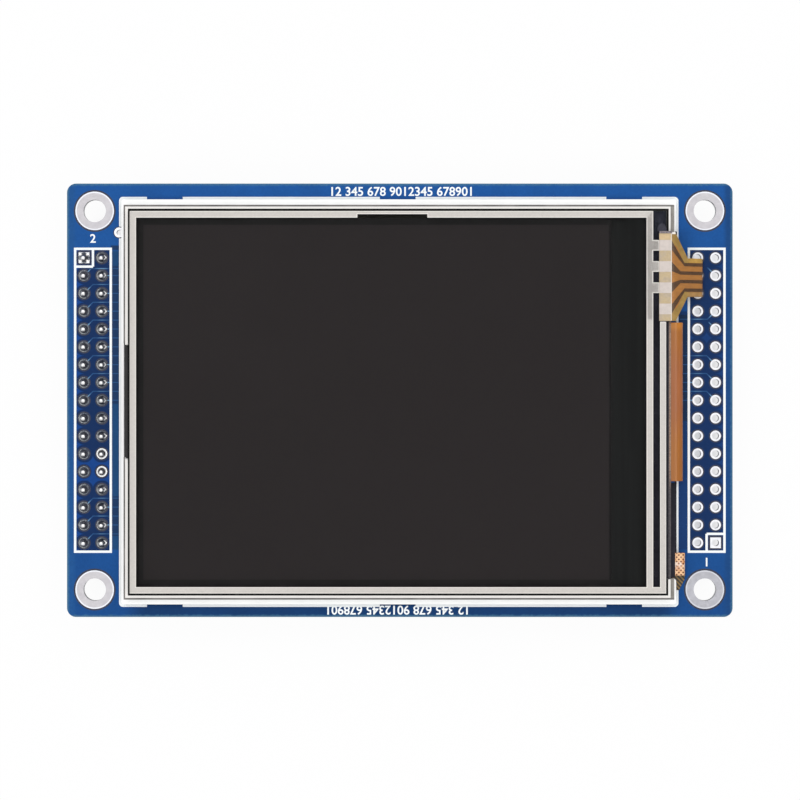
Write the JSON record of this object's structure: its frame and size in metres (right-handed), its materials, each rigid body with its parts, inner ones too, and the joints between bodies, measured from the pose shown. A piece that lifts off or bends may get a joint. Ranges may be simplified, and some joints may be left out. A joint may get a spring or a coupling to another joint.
{
  "type": "tft display module",
  "caption": "Colour liquid crystal panel with a resistive touch screen on a blue circuit board, with a pin header at one end, an open header footprint at the other and mounting holes.",
  "frame": {"origin": "centre of the four mounting holes, on the circuit board's rear face", "axes": "+Z out of the screen, +X along the board's long side towards the open header footprint, +Y up the board with the pin header on the left"},
  "size_m": [0.0948, 0.0618, 0.0144],
  "materials": {
    "solder_mask": "glossy blue solder mask over glass fibre board",
    "tinned_copper": "tinned copper, satin",
    "legend": "white printed ink",
    "header_plastic": "black moulded plastic",
    "gold_pins": "gold plated, polished",
    "solder": "reflowed solder, bright",
    "white_frame": "white moulded plastic, satin",
    "foam_tape": "black foam tape",
    "black_tape": "black film tape",
    "white_film": "white reflector and diffuser film",
    "clear_film": "clear optical film",
    "light_guide": "clear acrylic",
    "diode": "white diode package",
    "panel_glass": "dark panel glass",
    "polariser": "neutral dark polariser, satin",
    "silicon": "silicon die",
    "polyimide": "amber polyimide film over copper",
    "conductor": "dark brown conductor under film",
    "touch_glass": "clear glass",
    "touch_film": "clear hard-coated film",
    "silver_print": "printed silver, matt",
    "chip_plastic": "black moulding compound",
    "chip_lead": "tinned lead",
    "resistor": "black glaze on ceramic",
    "capacitor": "tan ceramic"
  },
  "bodies": {
    "root": {"circuit_board": "solder_mask", "mounting_hole_plating": "tinned_copper", "open_header_pads": "tinned_copper", "pin_header_pads": "tinned_copper", "spot_pad": "tinned_copper", "front_legend": "legend", "rear_legend": "legend", "header_body": "header_plastic", "header_pins": "gold_pins", "header_solder": "solder", "foam_tape": "foam_tape", "backlight_frame": "white_frame", "reflector_sheet": "white_film", "light_guide": "light_guide", "diffuser_sheet": "white_film", "prism_sheet_lower": "clear_film", "prism_sheet_upper": "clear_film", "backlight_diodes": "diode", "backlight_flex": "polyimide", "backlight_flex_pads": "tinned_copper", "rim_tape": "black_tape", "rear_polariser": "polariser", "panel_glass": "panel_glass", "colour_filter_glass": "panel_glass", "front_polariser": "polariser", "driver_chip": "silicon", "ledge_shield": "black_tape", "edge_tape": "black_tape", "display_flex": "polyimide", "display_flex_pads": "tinned_copper", "touch_tape": "black_tape", "touch_glass": "touch_glass", "touch_electrodes": "silver_print", "touch_film": "touch_film", "touch_flex": "polyimide", "touch_flex_contacts": "silver_print", "touch_flex_stripes": "conductor", "touch_flex_pads": "tinned_copper", "controller_body": "chip_plastic", "controller_leads": "chip_lead", "small_chip_bodies": "chip_plastic", "small_chip_leads": "chip_lead", "resistor_bodies": "resistor", "resistor_ends": "chip_lead", "capacitor_bodies": "capacitor", "capacitor_ends": "chip_lead"}
  },
  "joints": []
}
